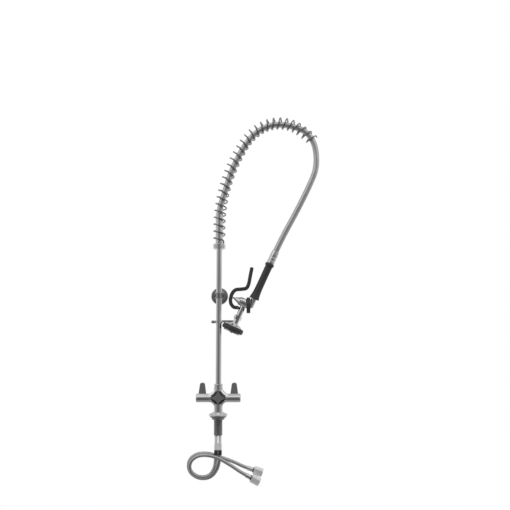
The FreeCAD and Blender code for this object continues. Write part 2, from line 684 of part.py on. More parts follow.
# valve body: elbow, drum, outlet neck and the lever's lug
elbow = inlet_radius + elbow_wall
pivot = crossing + Vec(pivot_x, 0, pivot_z)
pivot_local = tilt.inverse().multVec(pivot)
drum = sideways([
    (0, drum_start), (drum_radius, drum_start, 2.5), (drum_radius, drum_end, 1.2), (0, drum_end)])
arm_run = aim(rod(elbow, 0, drum_start + over * 2), RIGHT * -1, UP * -inlet_depth)
lug = Part.makeBox(-outlet_x - pivot_local.x, lug_thick, eye_radius * 1.7,
                   Vec(pivot_local.x, -lug_thick / 2, pivot_local.z - eye_radius * 0.85))
lug = lug.fuse(aim(rod(eye_radius - 0.4, -lug_thick / 2, lug_thick / 2), BACK,
                   Vec(pivot_local.x, 0, pivot_local.z)))
valve = rod(elbow, -inlet_depth, -socket_top).fuse([
    Part.makeSphere(elbow, Vec(0, 0, -inlet_depth)), arm_run, drum, lug,
    rod(outlet_radius, -nut_top, -inlet_depth, -outlet_x)])
spigot = nut_top + (nut_low - nut_top) / 2
spigot_outer = outlet_radius - 1.5
valve = valve.fuse(rod(spigot_outer, -spigot, -nut_top + over, -outlet_x))
chamber_end = seat_face + seat_wall
valve = valve.cut(aim(rod(chamber_radius, chamber_end, drum_end + over), RIGHT * -1, UP * -inlet_depth))
valve = valve.cut(aim(rod(seat_bore, seat_face - over, chamber_end + over), RIGHT * -1, UP * -inlet_depth))
valve = valve.cut(aim(rod(plunger_bore, over, seat_face), RIGHT * -1, UP * -inlet_depth))
valve = valve.cut(rod(inlet_radius + press, -socket_floor, -socket_top + over))
valve = valve.cut(rod(tube_bore, -inlet_depth, -socket_floor + over))
valve = valve.cut(rod(outlet_bore, -spigot - over, -inlet_depth - chamber_radius / 2, -outlet_x))
valve = valve.cut(aim(rod(pin_radius + press, -lug_thick, lug_thick), BACK,
                      Vec(pivot_local.x, 0, pivot_local.z)))
export("valve_body", slanted(valve.removeSplitter()))

# bonnet screwed into the drum
export("bonnet", slanted(sideways([
    (plunger_radius + running, drum_end - 6), (chamber_radius - press, drum_end - 6),
    (chamber_radius - press, drum_end), (bonnet_radius, drum_end), (bonnet_radius, drum_end + 4.5, 1.5),
    (bonnet_radius - 3.5, drum_end + 9, 3), (bonnet_tip + 1.2, bonnet_end - 5, 3),
    (bonnet_tip, bonnet_end, 1), (plunger_radius + running, bonnet_end)])))

# lever: a rounded bar swept along its centre line, with a forked eye on the pin
lever_route = [crossing + Vec(x, 0, z) for x, z in lever_points] + [pivot]
path, _ = chain(lever_route, [math.inf] * len(lever_route), False)
start, heading = lever_route[0], (lever_route[1] - lever_route[0]).normalize()
across = heading.cross(BACK).normalize()
corners = [start + across * (a * lever_thick / 2) + BACK * (b * lever_width / 2)
           for a, b in ((-1, -1), (1, -1), (1, 1), (-1, 1))]
section, _ = chain(corners, [lever_round] * len(corners), True)
lever = path.makePipeShell([section], True, False)
tip_edges = [e for e in lever.Edges if abs((e.CenterOfMass - start).dot(heading)) < press]
lever = lever.makeFillet(lever_round * 0.9, tip_edges)
lever = lever.fuse(aim(rod(eye_radius, -lever_width / 2, lever_width / 2), BACK, pivot))
lug_room = lug_thick / 2 + apart
slot = aim(rod(eye_radius + 1.5, -lug_room, lug_room), BACK, pivot)
neck_side = slanted(rod(outlet_radius + 0.6, -nut_top, -inlet_depth, -outlet_x))
lever = lever.cut([slot, neck_side, aim(rod(pin_radius + running, -lever_width, lever_width), BACK, pivot)])
export("lever", lever.removeSplitter())
export("lever_pin", aim(rod(pin_radius, -lever_width / 2 - 0.6, lever_width / 2 + 0.6), BACK, pivot))

# plunger: its tip stands just clear of the lever
aim_line = Part.LineSegment(tilt.multVec(Vec(-bonnet_end, 0, -inlet_depth)),
                            tilt.multVec(Vec(-bonnet_end * 2, 0, -inlet_depth))).toShape()
plunger_end = bonnet_end + aim_line.common(lever).distToShape(
    Part.Vertex(tilt.multVec(Vec(-bonnet_end, 0, -inlet_depth))))[0] - apart * 1.5
print("plunger tip", round(plunger_end, 2), [round(v, 2) for v in tilt.multVec(
    Vec(-plunger_end, 0, -inlet_depth))])
disc_near, disc_far = seat_face - apart, seat_face - apart - 2.7
flange_far = disc_far - 1.5
export("valve_stem", slanted(sideways([
    (0, plunger_inner), (plunger_radius, plunger_inner), (plunger_radius, flange_far),
    (washer_disc - 2, flange_far), (washer_disc - 2, disc_far), (plunger_radius, disc_far),
    (plunger_radius, plunger_end, 2.4), (0, plunger_end)])))
export("seat_washer", slanted(sideways([
    (plunger_radius + press, disc_far), (washer_disc, disc_far), (washer_disc, disc_near),
    (plunger_radius + press, disc_near)])))
spring_room = flange_far - over - 2 * plunger_spring_wire - 2 * press
inner_coil = Winding(spring_room, (), plunger_spring_radius, plunger_spring_turns, 0.0)
coil_shape = wound("valve_spring", inner_coil, plunger_spring_wire, None)
coil_shape = aim(coil_shape, RIGHT * -1,
                 Vec(-over - plunger_spring_wire - press, 0, -inlet_depth))
export("valve_spring", slanted(coil_shape))

# spray nut, shell, bumper and face
export("spray_nut", slanted(hexagon(hex_flats, -nut_low, -nut_top).cut(
    rod(spigot_outer + press, -nut_low - over, -nut_top + over)).translated(Vec(-outlet_x, 0, 0))))
gasket_gap = 1.4
spigot_base = -spigot - gasket_gap
export("spray_gasket", slanted(tube(spigot_outer - 0.4, outlet_bore, spigot_base, -spigot, -outlet_x)))
inner_rim = shell_rim - shell_wall
dome_mid = (shell_neck + shell_rim) * 0.52
shell = turned([
    (outlet_bore, spigot_base), (spigot_outer, spigot_base), (spigot_outer, -nut_low), (shell_neck, -nut_low),
    (shell_neck, -dome_top, 2.5), (dome_mid, -dome_top - 3.6, 14), (shell_rim - 1, -dome_foot + 3, 6),
    (shell_rim, -bumper_low), (inner_rim, -bumper_low), (inner_rim - 1, -dome_foot, 6),
    (dome_mid - 1.5, -dome_top - 3.6 - shell_wall, 14), (outlet_bore, -dome_top - shell_wall, 1)])
bridge_low, bridge_high, bridge_half = dome_foot + 8, dome_foot + 4, 3.5
bridge = Part.makeBox(inner_rim * 2 + 1, bridge_half * 2, bridge_low - bridge_high,
                      Vec(-inner_rim - 0.5, -bridge_half, -bridge_low))
shell = shell.fuse(bridge).cut(rod(screw_radius + press, -bridge_low - over, -bridge_high + over))
export("spray_shell", slanted(shell.removeSplitter().translated(Vec(-outlet_x, 0, 0))))
export("bumper", slanted(turned([
    (shell_rim + press, -bumper_low), (bumper_radius, -bumper_low, bumper_round),
    (bumper_radius, -bumper_high, bumper_round), (shell_rim + press, -bumper_high, 0.8)]).translated(
        Vec(-outlet_x, 0, 0))))
face_low = -bumper_low - face_thick
face = turned([(0, face_low), (face_radius, face_low, 1), (face_radius, -bumper_low), (0, -bumper_low)])
jets = []
for row, ring in enumerate(jet_rings):
    count = first_jet_count + row * more_jet_count
    for i in range(count):
        turn = 2 * math.pi * i / count
        jets.append(rod(jet_radius, face_low - over, -bumper_low + over,
                        ring * math.cos(turn), ring * math.sin(turn)))
face = face.cut(jets + [rod(screw_radius + press, face_low - over, -bumper_low + over)])
export("spray_face", slanted(face.translated(Vec(-outlet_x, 0, 0))))
export("face_screw", slanted(turned([
    (0, face_low - 2.4), (screw_head, face_low - 2.4, 1.6), (screw_head, face_low), (screw_radius, face_low),
    (screw_radius, -bridge_high - 1), (0, -bridge_high - 1)]).translated(Vec(-outlet_x, 0, 0))))

# hold-down ring
export("hold_down_ring", aim(turned([
    (ring_inner, -ring_thick / 2, 1), (ring_outer, -ring_thick / 2, 1.6), (ring_outer, ring_thick / 2, 1.6),
    (ring_inner, ring_thick / 2, 1)]), RIGHT, crossing + Vec(ring_x, 0, ring_z)))

# tails: stems, ferrules, sleeves, hoses and swivel nuts
stem_low = -(tail_ferrule_top + tail_ferrule_low) / 2
stems, uppers, sleeves, ends, spacers, gaskets = [], [], [], [], [], []
spacer_end = end_ferrule_length + spacer_length
lip_end = spacer_end + apart + swivel_nut_lip
seat_start = lip_end + apart
gasket_start = seat_start + flange_length
thread_start = gasket_start + tail_gasket_height + apart
for side, name, points in ((-1, "hot", hot_points), (1, "cold", cold_points)):
    x = side * tail_offset
    stems.append(tube(tail_stem, tail_stem_bore, stem_low, stem_floor, x))
    barb_low = -tail_ferrule_low - barb_length
    barb = turned([
        (tail_bore - 1.1, barb_low), (tail_bore - press, barb_low),
        (tail_bore - press, -tail_ferrule_low), (tail_ferrule, -tail_ferrule_low, 0.6),
        (tail_ferrule, -tail_ferrule_top, 0.8), (tail_stem + press, -tail_ferrule_top),
        (tail_stem + press, stem_low), (tail_bore - 1.1, stem_low)])
    uppers.append(barb.translated(RIGHT * x))
    sleeves.append(tube(tail_ferrule, tail_radius + press, -tail_ferrule_low - sleeve_length,
                        -tail_ferrule_low, x))
    route = [Vec(x, 0, -tail_ferrule_low)] + [Vec(*p) for p in points]
    cord(name + "_tail_hose", route, tail_radius, tail_bore)
    end, toward = route[-1], (route[-1] - route[-2]).normalize()
    ends.append(aim(turned([
        (tail_bore - 1.1, -barb_length), (tail_bore - press, -barb_length), (tail_bore - press, 0),
        (end_ferrule_radius, 0, 1), (end_ferrule_radius, end_ferrule_length, 0.8),
        (tailpiece_radius, end_ferrule_length), (tailpiece_radius, seat_start),
        (tailpiece_flange, seat_start), (tailpiece_flange, gasket_start), (tail_bore, gasket_start),
        (tail_bore, 0), (tail_bore - 1.1, 0)]), toward, end))
    spacers.append(aim(tube(spacer_radius, tailpiece_radius + press, end_ferrule_length, spacer_end),
                       toward, end))
    gaskets.append(aim(tube(tailpiece_flange, tail_bore + 1.5, gasket_start,
                            gasket_start + tail_gasket_height), toward, end))
    nut_start = spacer_end + apart
    nut = hexagon(swivel_nut_flats, nut_start, nut_start + swivel_nut_length)
    nut = nut.cut(rod(tailpiece_radius + apart, nut_start - over, nut_start + swivel_nut_length))
    nut = nut.cut(rod(swivel_nut_relief, lip_end, thread_start))
    nut = nut.cut(rod(swivel_nut_bore, thread_start - press, nut_start + swivel_nut_length + over))
    export(name + "_tail_nut", aim(nut, toward, end))
    thread_at, mouth_at = end + toward * thread_start, end + toward * (nut_start + swivel_nut_length)
    print(name, "nut axis", [round(v, 4) for v in toward], "from", [round(v, 2) for v in thread_at],
          "to", [round(v, 2) for v in mouth_at])
export("tail_stems", *stems)
export("tail_upper_ferrules", *uppers)
export("tail_sleeves", *sleeves)
export("tail_end_ferrules", *ends)
export("tail_spacers", *spacers)
export("tail_gaskets", *gaskets)
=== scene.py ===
import json
import math

import bmesh
import bpy
from mathutils import Matrix, Vector

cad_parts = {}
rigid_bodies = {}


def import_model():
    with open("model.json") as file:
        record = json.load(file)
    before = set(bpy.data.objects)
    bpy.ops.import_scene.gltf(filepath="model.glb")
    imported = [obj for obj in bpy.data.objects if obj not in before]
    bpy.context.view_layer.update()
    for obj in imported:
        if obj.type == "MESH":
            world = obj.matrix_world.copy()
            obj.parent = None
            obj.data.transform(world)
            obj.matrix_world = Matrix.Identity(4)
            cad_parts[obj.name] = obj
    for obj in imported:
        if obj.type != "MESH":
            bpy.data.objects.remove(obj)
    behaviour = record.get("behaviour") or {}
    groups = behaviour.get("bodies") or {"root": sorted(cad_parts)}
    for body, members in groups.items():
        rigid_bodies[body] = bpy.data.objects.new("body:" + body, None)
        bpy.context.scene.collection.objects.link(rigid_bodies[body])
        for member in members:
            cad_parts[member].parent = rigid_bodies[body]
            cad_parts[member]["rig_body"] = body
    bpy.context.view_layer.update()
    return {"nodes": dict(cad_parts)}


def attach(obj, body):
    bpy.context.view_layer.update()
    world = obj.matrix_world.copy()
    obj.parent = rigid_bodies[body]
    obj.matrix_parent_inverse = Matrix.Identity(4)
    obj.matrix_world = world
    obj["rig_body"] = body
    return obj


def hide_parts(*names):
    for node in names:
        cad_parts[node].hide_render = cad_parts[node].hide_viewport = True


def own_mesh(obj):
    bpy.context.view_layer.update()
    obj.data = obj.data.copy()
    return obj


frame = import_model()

# pre rinse faucet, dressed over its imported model
# the pieces' sizes are mm; routes, camera, floor and lamps are metres
mm = 0.001
nodes = frame["nodes"]
scene = bpy.context.scene
scene.view_settings.view_transform = "Standard"

print("camera")
view = {"place": (0.12264, -2.3, 0.27127), "pitch": 6.75, "lens": 47.72}
cameraData = bpy.data.cameras.new("viewCamera")
cameraData.lens = view["lens"]
camera = bpy.data.objects.new("viewCamera", cameraData)
camera.location = view["place"]
camera.rotation_euler = (math.radians(90 + view["pitch"]), 0, 0)
scene.collection.objects.link(camera)
scene.camera = camera

# the spray valve's slanted frame: its origin is the swivel's face, +Z runs up the hose
spray = {"x": 172.6025, "z": 509.703, "tilt": 24.68, "inlet": 154.0, "outlet": 23.0}
slant = Matrix.Translation((spray["x"] * mm, 0, spray["z"] * mm)) @ Matrix.Rotation(
    math.radians(spray["tilt"]), 4, "Y")


def alongSpray(depth):
    return slant @ Vector((0, 0, depth * mm))


print("materials")


def startMaterial(name):
    material = bpy.data.materials.new(name)
    material.use_nodes = True
    return material, material.node_tree, material.node_tree.nodes["Principled BSDF"]


def addNode(tree, kind, inputs=None, **settings):
    # inputs hold plain values or another node's output
    made = tree.nodes.new(kind)
    for key, value in settings.items():
        setattr(made, key, value)
    for key, value in (inputs or {}).items():
        if isinstance(value, bpy.types.NodeSocket):
            tree.links.new(value, made.inputs[key])
        else:
            made.inputs[key].default_value = value
    return made


def sums(tree, operation, one, two=0.0, three=0.0):
    return addNode(tree, "ShaderNodeMath", {0: one, 1: two, 2: three}, operation=operation).outputs[0]


def spread(tree, value, low, high, fromLow=0.3, fromHigh=0.7):
    # maps the middle of a noise to a range of roughness or height
    return addNode(tree, "ShaderNodeMapRange", {
        "Value": value, "From Min": fromLow, "From Max": fromHigh, "To Min": low, "To Max": high},
        interpolation_type="SMOOTHSTEP").outputs[0]


def noise(tree, place, scale, detail=3.0, rough=0.5):
    return addNode(tree, "ShaderNodeTexNoise", {
        "Vector": place, "Scale": scale, "Detail": detail, "Roughness": rough}).outputs[0]


def objectPlace(tree):
    return addNode(tree, "ShaderNodeTexCoord").outputs["Object"]


def twoShades(tree, factor, one, two):
    ramp = addNode(tree, "ShaderNodeValToRGB", {0: factor})
    ramp.color_ramp.elements[0].color = (*one, 1)
    ramp.color_ramp.elements[1].color = (*two, 1)
    return ramp.outputs[0]


def addBump(tree, shader, height, strength, distance):
    bump = addNode(tree, "ShaderNodeBump", {
        "Height": height, "Strength": strength, "Distance": distance})
    tree.links.new(bump.outputs[0], shader.inputs["Normal"])


def metal(name, shades, rough, smudge=28.0, grain=900.0, grainHeight=0.02, mirror=1.0):
    # plated or plain metal: smudged gloss, faint handling marks and a fine grain
    material, tree, shader = startMaterial(name)
    place = objectPlace(tree)
    broad = noise(tree, place, smudge, 4.0)
    fine = noise(tree, place, grain, 2.0)
    tree.links.new(twoShades(tree, broad, *shades), shader.inputs["Base Color"])
    marks = sums(tree, "MULTIPLY_ADD", fine, 0.35, sums(tree, "MULTIPLY", broad, 0.65))
    tree.links.new(spread(tree, marks, *rough), shader.inputs["Roughness"])
    addBump(tree, shader, fine, grainHeight, 0.0002)
    shader.inputs["Metallic"].default_value = mirror
    return material


def soft(name, shades, rough, grain, grainHeight):
    # moulded rubber or plastic: matt skin with a fine moulded grain and dust in it
    material, tree, shader = startMaterial(name)
    place = objectPlace(tree)
    broad = noise(tree, place, 35.0, 5.0, 0.6)
    fine = noise(tree, place, grain, 3.0, 0.6)
    tree.links.new(twoShades(tree, broad, *shades), shader.inputs["Base Color"])
    marks = sums(tree, "ADD", sums(tree, "MULTIPLY", fine, 0.5), sums(tree, "MULTIPLY", broad, 0.5))
    tree.links.new(spread(tree, marks, *rough), shader.inputs["Roughness"])
    addBump(tree, shader, fine, grainHeight, 0.0004)
    return material


braid = {"wires": 5, "wireShare": 0.35, "metal": 0.85, "skinRough": 0.12}


def braided(name, shades, rough, around, pitch, strandHeight, skinCoat):
    # two sets of flat bundles wound both ways, each over and under the other, under a clear skin
    material, tree, shader = startMaterial(name)
    uv = addNode(tree, "ShaderNodeTexCoord").outputs["UV"]
    split = addNode(tree, "ShaderNodeSeparateXYZ", {0: uv})
    along = sums(tree, "MULTIPLY", split.outputs[0], 1.0 / pitch)
    turn = sums(tree, "MULTIPLY", split.outputs[1], float(around))
    one, two = sums(tree, "ADD", along, turn), sums(tree, "SUBTRACT", along, turn)
    cells = sums(tree, "ADD", sums(tree, "FLOOR", one), sums(tree, "FLOOR", two))
    parity = sums(tree, "PINGPONG", cells, 1.0)
    heights = []
    for bundle in (one, two):
        share = sums(tree, "FRACT", bundle)
        crown = sums(tree, "SINE", sums(tree, "MULTIPLY", share, math.pi))
        wires = sums(tree, "ABSOLUTE", sums(tree, "SINE", sums(
            tree, "MULTIPLY", share, math.pi * braid["wires"])))
        heights.append(sums(tree, "MULTIPLY_ADD", wires, braid["wireShare"], crown))
    height = addNode(tree, "ShaderNodeMix", {0: parity, 2: heights[0], 3: heights[1]}).outputs[0]
    broad = noise(tree, objectPlace(tree), 30.0, 4.0)
    # base colour: random tone from the broad noise, plus painted shade in the gaps between wires and
    # bundles and a painted highlight on their crowns
    toneWithPaintedWeaveShade = sums(tree, "MULTIPLY_ADD", broad, 0.5, sums(tree, "MULTIPLY", height, 0.5))
    tree.links.new(twoShades(tree, toneWithPaintedWeaveShade, *shades), shader.inputs["Base Color"])
    tree.links.new(spread(tree, broad, *rough), shader.inputs["Roughness"])
    addBump(tree, shader, height, strandHeight, 0.0003)
    shader.inputs["Metallic"].default_value = braid["metal"]
    shader.inputs["Coat Weight"].default_value = skinCoat
    shader.inputs["Coat Roughness"].default_value = braid["skinRough"]
    return material


chrome = metal("polishedChrome", ((0.78, 0.78, 0.79), (0.9, 0.9, 0.91)), (0.045, 0.13))
springChrome = metal("springChrome", ((0.24, 0.24, 0.25), (0.42, 0.42, 0.43)), (0.1, 0.22), grain=1400.0,
                     grainHeight=0.05)
steel = metal("plainSteel", ((0.5, 0.5, 0.51), (0.68, 0.68, 0.69)), (0.25, 0.42), grainHeight=0.08)
satin = metal("satinChrome", ((0.8, 0.8, 0.81), (0.92, 0.92, 0.93)), (0.36, 0.5), grainHeight=0.05,
              mirror=0.7)
brightSteel = metal("brightSteel", ((0.84, 0.84, 0.85), (0.94, 0.94, 0.95)), (0.14, 0.26), mirror=0.55)
flangeMetal = metal("flangeMetal", ((0.46, 0.46, 0.47), (0.62, 0.62, 0.63)), (0.1, 0.2))
paleRubber = soft("paleRubber", ((0.09, 0.09, 0.092), (0.15, 0.15, 0.152)), (0.5, 0.7), 1200.0, 0.2)
shankMetal = metal("shankMetal", ((0.32, 0.32, 0.33), (0.46, 0.46, 0.47)), (0.26, 0.42), grainHeight=0.08)
# near-black metal for the band round the mixer's star facet: a painted dark reflection
paintedReflectionMetal = metal("paintedReflectionMetal", ((0.05, 0.05, 0.052), (0.09, 0.09, 0.093)), (0.16, 0.28))
darkMetal = metal("darkMetal", ((0.1, 0.1, 0.105), (0.2, 0.2, 0.21)), (0.32, 0.5), grainHeight=0.1)
brass = metal("turnedBrass", ((0.62, 0.46, 0.2), (0.8, 0.64, 0.33)), (0.22, 0.36), grainHeight=0.08)
gripRubber = soft("gripRubber", ((0.02, 0.02, 0.021), (0.04, 0.04, 0.041)), (0.3, 0.44), 1500.0, 0.12)
sealRubber = soft("sealRubber", ((0.015, 0.015, 0.015), (0.03, 0.03, 0.03)), (0.5, 0.7), 1200.0, 0.2)
leverPlastic = soft("leverPlastic", ((0.022, 0.022, 0.023), (0.036, 0.036, 0.038)), (0.32, 0.46), 1800.0,
                    0.1)
hoseBraid = braided("hoseBraid", ((0.36, 0.36, 0.37), (0.72, 0.72, 0.73)), (0.12, 0.22), 14, 0.0044,
                    0.09, 0.3)
tailBraid = braided("tailBraid", ((0.3, 0.3, 0.31), (0.64, 0.64, 0.65)), (0.16, 0.28), 12, 0.003, 0.12, 0.3)


# making and fitting pieces

def addPiece(name, bm, material, slot, *replaced, weighted=True):
    mesh = bpy.data.meshes.new(name)
    for face in bm.faces:
        face.smooth = True
    bm.to_mesh(mesh)
    bm.free()
    piece = bpy.data.objects.new(name, mesh)
    scene.collection.objects.link(piece)
    mesh.materials.append(material)
    if weighted:
        weigh = piece.modifiers.new("evenNormals", "WEIGHTED_NORMAL")
        weigh.keep_sharp = True
    fit(piece, slot, *replaced)
    return piece


def fit(piece, slot, *replaced):
    # a piece rides on the body of the node that it stands for
    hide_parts(*replaced)
    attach(piece, nodes[replaced[0]]["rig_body"])


def merged(node):
    # a node's loose triangles joined up, with the flats made whole
    bm = bmesh.new()
    bm.from_mesh(nodes[node].data)
    bmesh.ops.remove_doubles(bm, verts=bm.verts, dist=1e-6)
    bmesh.ops.dissolve_limit(bm, angle_limit=math.radians(0.4), verts=bm.verts, edges=bm.edges)
    return bm


def addCopy(name, node, material, slot, edge=0.25, crease=32.0, shape=None):
    bm = merged(node)
    if shape:
        shape(bm)
    for joint in bm.edges:
        joint.smooth = not joint.is_manifold or joint.calc_face_angle(0.0) < math.radians(crease)
    piece = addPiece(name, bm, material, slot, node, weighted=False)
    if edge:
        round_ = piece.modifiers.new("softEdges", "BEVEL")
        round_.width = edge * mm
        round_.segments = 2
        round_.limit_method = "ANGLE"
        round_.angle_limit = math.radians(crease)
        round_.use_clamp_overlap = True
    weigh = piece.modifiers.new("evenNormals", "WEIGHTED_NORMAL")
    weigh.keep_sharp = True
    return piece


def turned(outline, steps=96, cuts=4, edge=0.2):
    # corners are (radius, height) or (radius, height, rounding) in mm, spun round Z
    bm = bmesh.new()
    line = [bm.verts.new((corner[0], 0, corner[1])) for corner in outline]
    for one, two in zip(line, line[1:]):
        bm.edges.new((one, two))
    if outline[0][0] or outline[-1][0]:
        bm.edges.new((line[-1], line[0]))
    bmesh.ops.spin(bm, geom=bm.verts[:] + bm.edges[:], cent=(0, 0, 0), axis=(0, 0, 1), dvec=(0, 0, 0),
                   angle=2 * math.pi, steps=steps, use_merge=True)
    bmesh.ops.remove_doubles(bm, verts=bm.verts, dist=1e-4)
    bmesh.ops.recalc_face_normals(bm, faces=bm.faces)
    for corner in outline:
        rounding = corner[2] if len(corner) > 2 else edge
        if not rounding or not corner[0]:
            continue
        circle = [joint for joint in bm.edges if all(
            abs(math.hypot(v.co.x, v.co.y) - corner[0]) < 1e-3 and abs(v.co.z - corner[1]) < 1e-3
            for v in joint.verts)]
        if circle:
            bmesh.ops.bevel(bm, geom=circle, offset=rounding, offset_type="OFFSET", segments=cuts,
                            profile=0.5, affect="EDGES", clamp_overlap=True, material=-1)
    return bm


def stand(bm, at=(0, 0, 0), towards=(0, 0, 1)):
    # from mm round Z to its place in metres
    turn = Vector((0, 0, 1)).rotation_difference(Vector(towards)).to_matrix().to_4x4()
    bm.transform(Matrix.Translation(Vector(at) * mm) @ turn @ Matrix.Scale(mm, 4))
    return bm


def lean(bm, x=0.0):
    # from mm in the slanted frame to its place
    bm.transform(slant @ Matrix.Translation((x * mm, 0, 0)) @ Matrix.Scale(mm, 4))
    return bm


def leanSideways(bm):
    # heights run from the grip's axis towards the lever
    turn = Vector((0, 0, 1)).rotation_difference(Vector((-1, 0, 0))).to_matrix().to_4x4()
    bm.transform(slant @ Matrix.Translation((0, 0, -spray["inlet"] * mm)) @ turn @ Matrix.Scale(mm, 4))
    return bm


def flute(bm, radius, low, high, depth):
    # pulls every second column of a turned skin in, which leaves a straight knurl
    columns = {}
    for v in bm.verts:
        if abs(math.hypot(v.co.x, v.co.y) - radius) < 0.05 and low <= v.co.z <= high:
            columns.setdefault(round(math.degrees(math.atan2(v.co.y, v.co.x)), 1), []).append(v)
    for i, angle in enumerate(sorted(columns)):
        if i % 2:
            for v in columns[angle]:
                v.co.x *= 1 - depth / radius
                v.co.y *= 1 - depth / radius
    return bm


print("cords")


def routeLine(name, points, step):
    # the route's own curve, read back as a line of points
    data = bpy.data.curves.new(name, "CURVE")
    data.dimensions = "3D"
    data.resolution_u = step
    spline = data.splines.new("NURBS")
    spline.points.add(len(points) - 1)
    for point, at in zip(spline.points, points):
        point.co = (*at, 1)
    spline.order_u = 3
    spline.use_endpoint_u = True
    carrier = bpy.data.objects.new(name, data)
    scene.collection.objects.link(carrier)
    bpy.context.view_layer.update()
    mesh = bpy.data.meshes.new_from_object(carrier)
    line = [v.co.copy() for v in mesh.vertices]
    bpy.data.meshes.remove(mesh)
    return carrier, line


def addCord(name, points, size, material, slot, node, step=24, sides=32):
    # a tube on the route's curve, with its length and turn laid down as its own UV map
    carrier, line = routeLine(name + "Route", points, step)
    carrier.data.bevel_depth = size / 2 * mm
    carrier.data.bevel_resolution = sides // 2 - 2
    carrier.data.use_fill_caps = False
    bpy.context.view_layer.update()
    mesh = bpy.data.meshes.new_from_object(carrier)
    mesh.name = name
    bpy.data.objects.remove(carrier)
    count = len(mesh.vertices) // len(line)
    lengths = [0.0]
    for one, two in zip(line, line[1:]):
        lengths.append(lengths[-1] + (two - one).length)
    while mesh.uv_layers:
        mesh.uv_layers.remove(mesh.uv_layers[0])
    layer = mesh.uv_layers.new(name="wrap")
    for face in mesh.polygons:
        turns = [mesh.loops[i].vertex_index % count for i in face.loop_indices]
        for i, turn in zip(face.loop_indices, turns):
            if turn == 0 and max(turns) > count / 2:
                turn = count
            layer.data[i].uv = (lengths[mesh.loops[i].vertex_index // count], turn / count)
    bm = bmesh.new()
    bm.from_mesh(mesh)
    bpy.data.meshes.remove(mesh)
    bmesh.ops.holes_fill(bm, edges=[joint for joint in bm.edges if joint.is_boundary], sides=0)
    bmesh.ops.recalc_face_normals(bm, faces=bm.faces)
    piece = addPiece(name, bm, material, slot, node, weighted=False)
    print(name, "sides", count, "length", round(lengths[-1], 4))
    return piece, line, lengths[-1]


hose = {"size": 20.4, "foot": (0, 0, 0.6775), "bend": 99.2, "end": 38.0}
hoseRoute = [
    hose["foot"], (0, 0, 0.7046), (0.0155, 0, 0.7527), (0.0423, 0, 0.8443), (0.0927, 0, 0.941),
    (0.1395, 0, 0.9869), (0.193, 0, 1.0059), (0.2523, 0, 0.9987), (0.3051, 0, 0.9776),
    (0.3343, 0, 0.9292), (0.338, 0, 0.8521), (0.3173, 0, 0.7969), (0.2692, 0, 0.6995),
    alongSpray(hose["bend"]), alongSpray(hose["end"])]
overheadHose, hoseLine, hoseLength = addCord(
    "overheadHose", hoseRoute, hose["size"], hoseBraid, "hose_grey", "overhead_hose")

tail = {"size": 11.4}
hotRoute = [
    (-0.00645, 0, -0.107), (-0.00645, 0, -0.131), (-0.011, -0.005, -0.167), (-0.03, -0.0065, -0.191),
    (-0.065, -0.007, -0.193), (-0.0925, -0.0085, -0.172), (-0.0915, -0.01, -0.142),
    (-0.065, -0.012, -0.1225), (-0.03, -0.014, -0.1215), (0.004, -0.0144, -0.131),
    (0.047, -0.0142, -0.156), (0.0752, -0.0135, -0.1755), (0.0912, -0.0135, -0.1838)]
coldRoute = [
    (0.00645, 0, -0.107), (0.00645, 0, -0.131), (-0.001, 0.005, -0.171), (-0.026, 0.0065, -0.199),
    (-0.067, 0.007, -0.2005), (-0.0985, 0.0085, -0.176), (-0.098, 0.0105, -0.1395),
    (-0.069, 0.012, -0.1195), (-0.03, 0.014, -0.1195), (0.006, 0.0144, -0.1315),
    (0.055, 0.0142, -0.1485), (0.0798, 0.0135, -0.161), (0.0978, 0.0135, -0.167)]
tails = []
for side, route in (("hot", hotRoute), ("cold", coldRoute)):
    tube, line, length = addCord(side + "TailHose", route, tail["size"], tailBraid, "braid_grey",
                                 side + "_tail_hose", step=16, sides=28)
    tails.append((side, route, tube, line, length))

print("overhead spring")
coil = {"radius": 19.0, "wire": 5.0, "turns": 29.0, "first": 0.705, "straight": 40.3, "start": 595.0,
        "arcs": ((563.8, 31.74), (183.5, 22.62), (125.2, 70.22), (348.6, 10.04)), "steps": 30,
        "low": 581.0, "foot": 6.0, "back": 11.0, "easeUp": 1.3, "easeBack": 0.8, "easeSteps": 10}


def springLine():
    # the centre line bends by arcs, and the wire winds round it with even pitch on the outside
    runs = [(coil["straight"], math.inf)] + [(r * math.radians(a), r) for r, a in coil["arcs"]]
    spans = [length * (1 if r == math.inf else (r + coil["radius"]) / r) for length, r in runs]
    total = coil["turns"] - coil["first"]
    count = int(total * coil["steps"])
    line = []
    for i in range(count + 1):
        left = sum(spans) * i / count
        x, z, heading = 0.0, coil["start"], 0.0
        for (length, r), span in zip(runs, spans):
            part = length * min(left / span, 1.0)
            if r == math.inf:
                z += part
            else:
                after = heading + part / r
                x += r * (math.cos(heading) - math.cos(after))
                z += r * (math.sin(after) - math.sin(heading))
                heading = after
            left -= span
            if left <= 0:
                break
        angle = 2 * math.pi * (coil["first"] + total * i / count)
        out = Vector((-math.cos(heading), 0, math.sin(heading))) * math.cos(angle)
        line.append((Vector((x, 0, z)) + (out + Vector((0, math.sin(angle), 0))) * coil["radius"]) * mm)
    return line


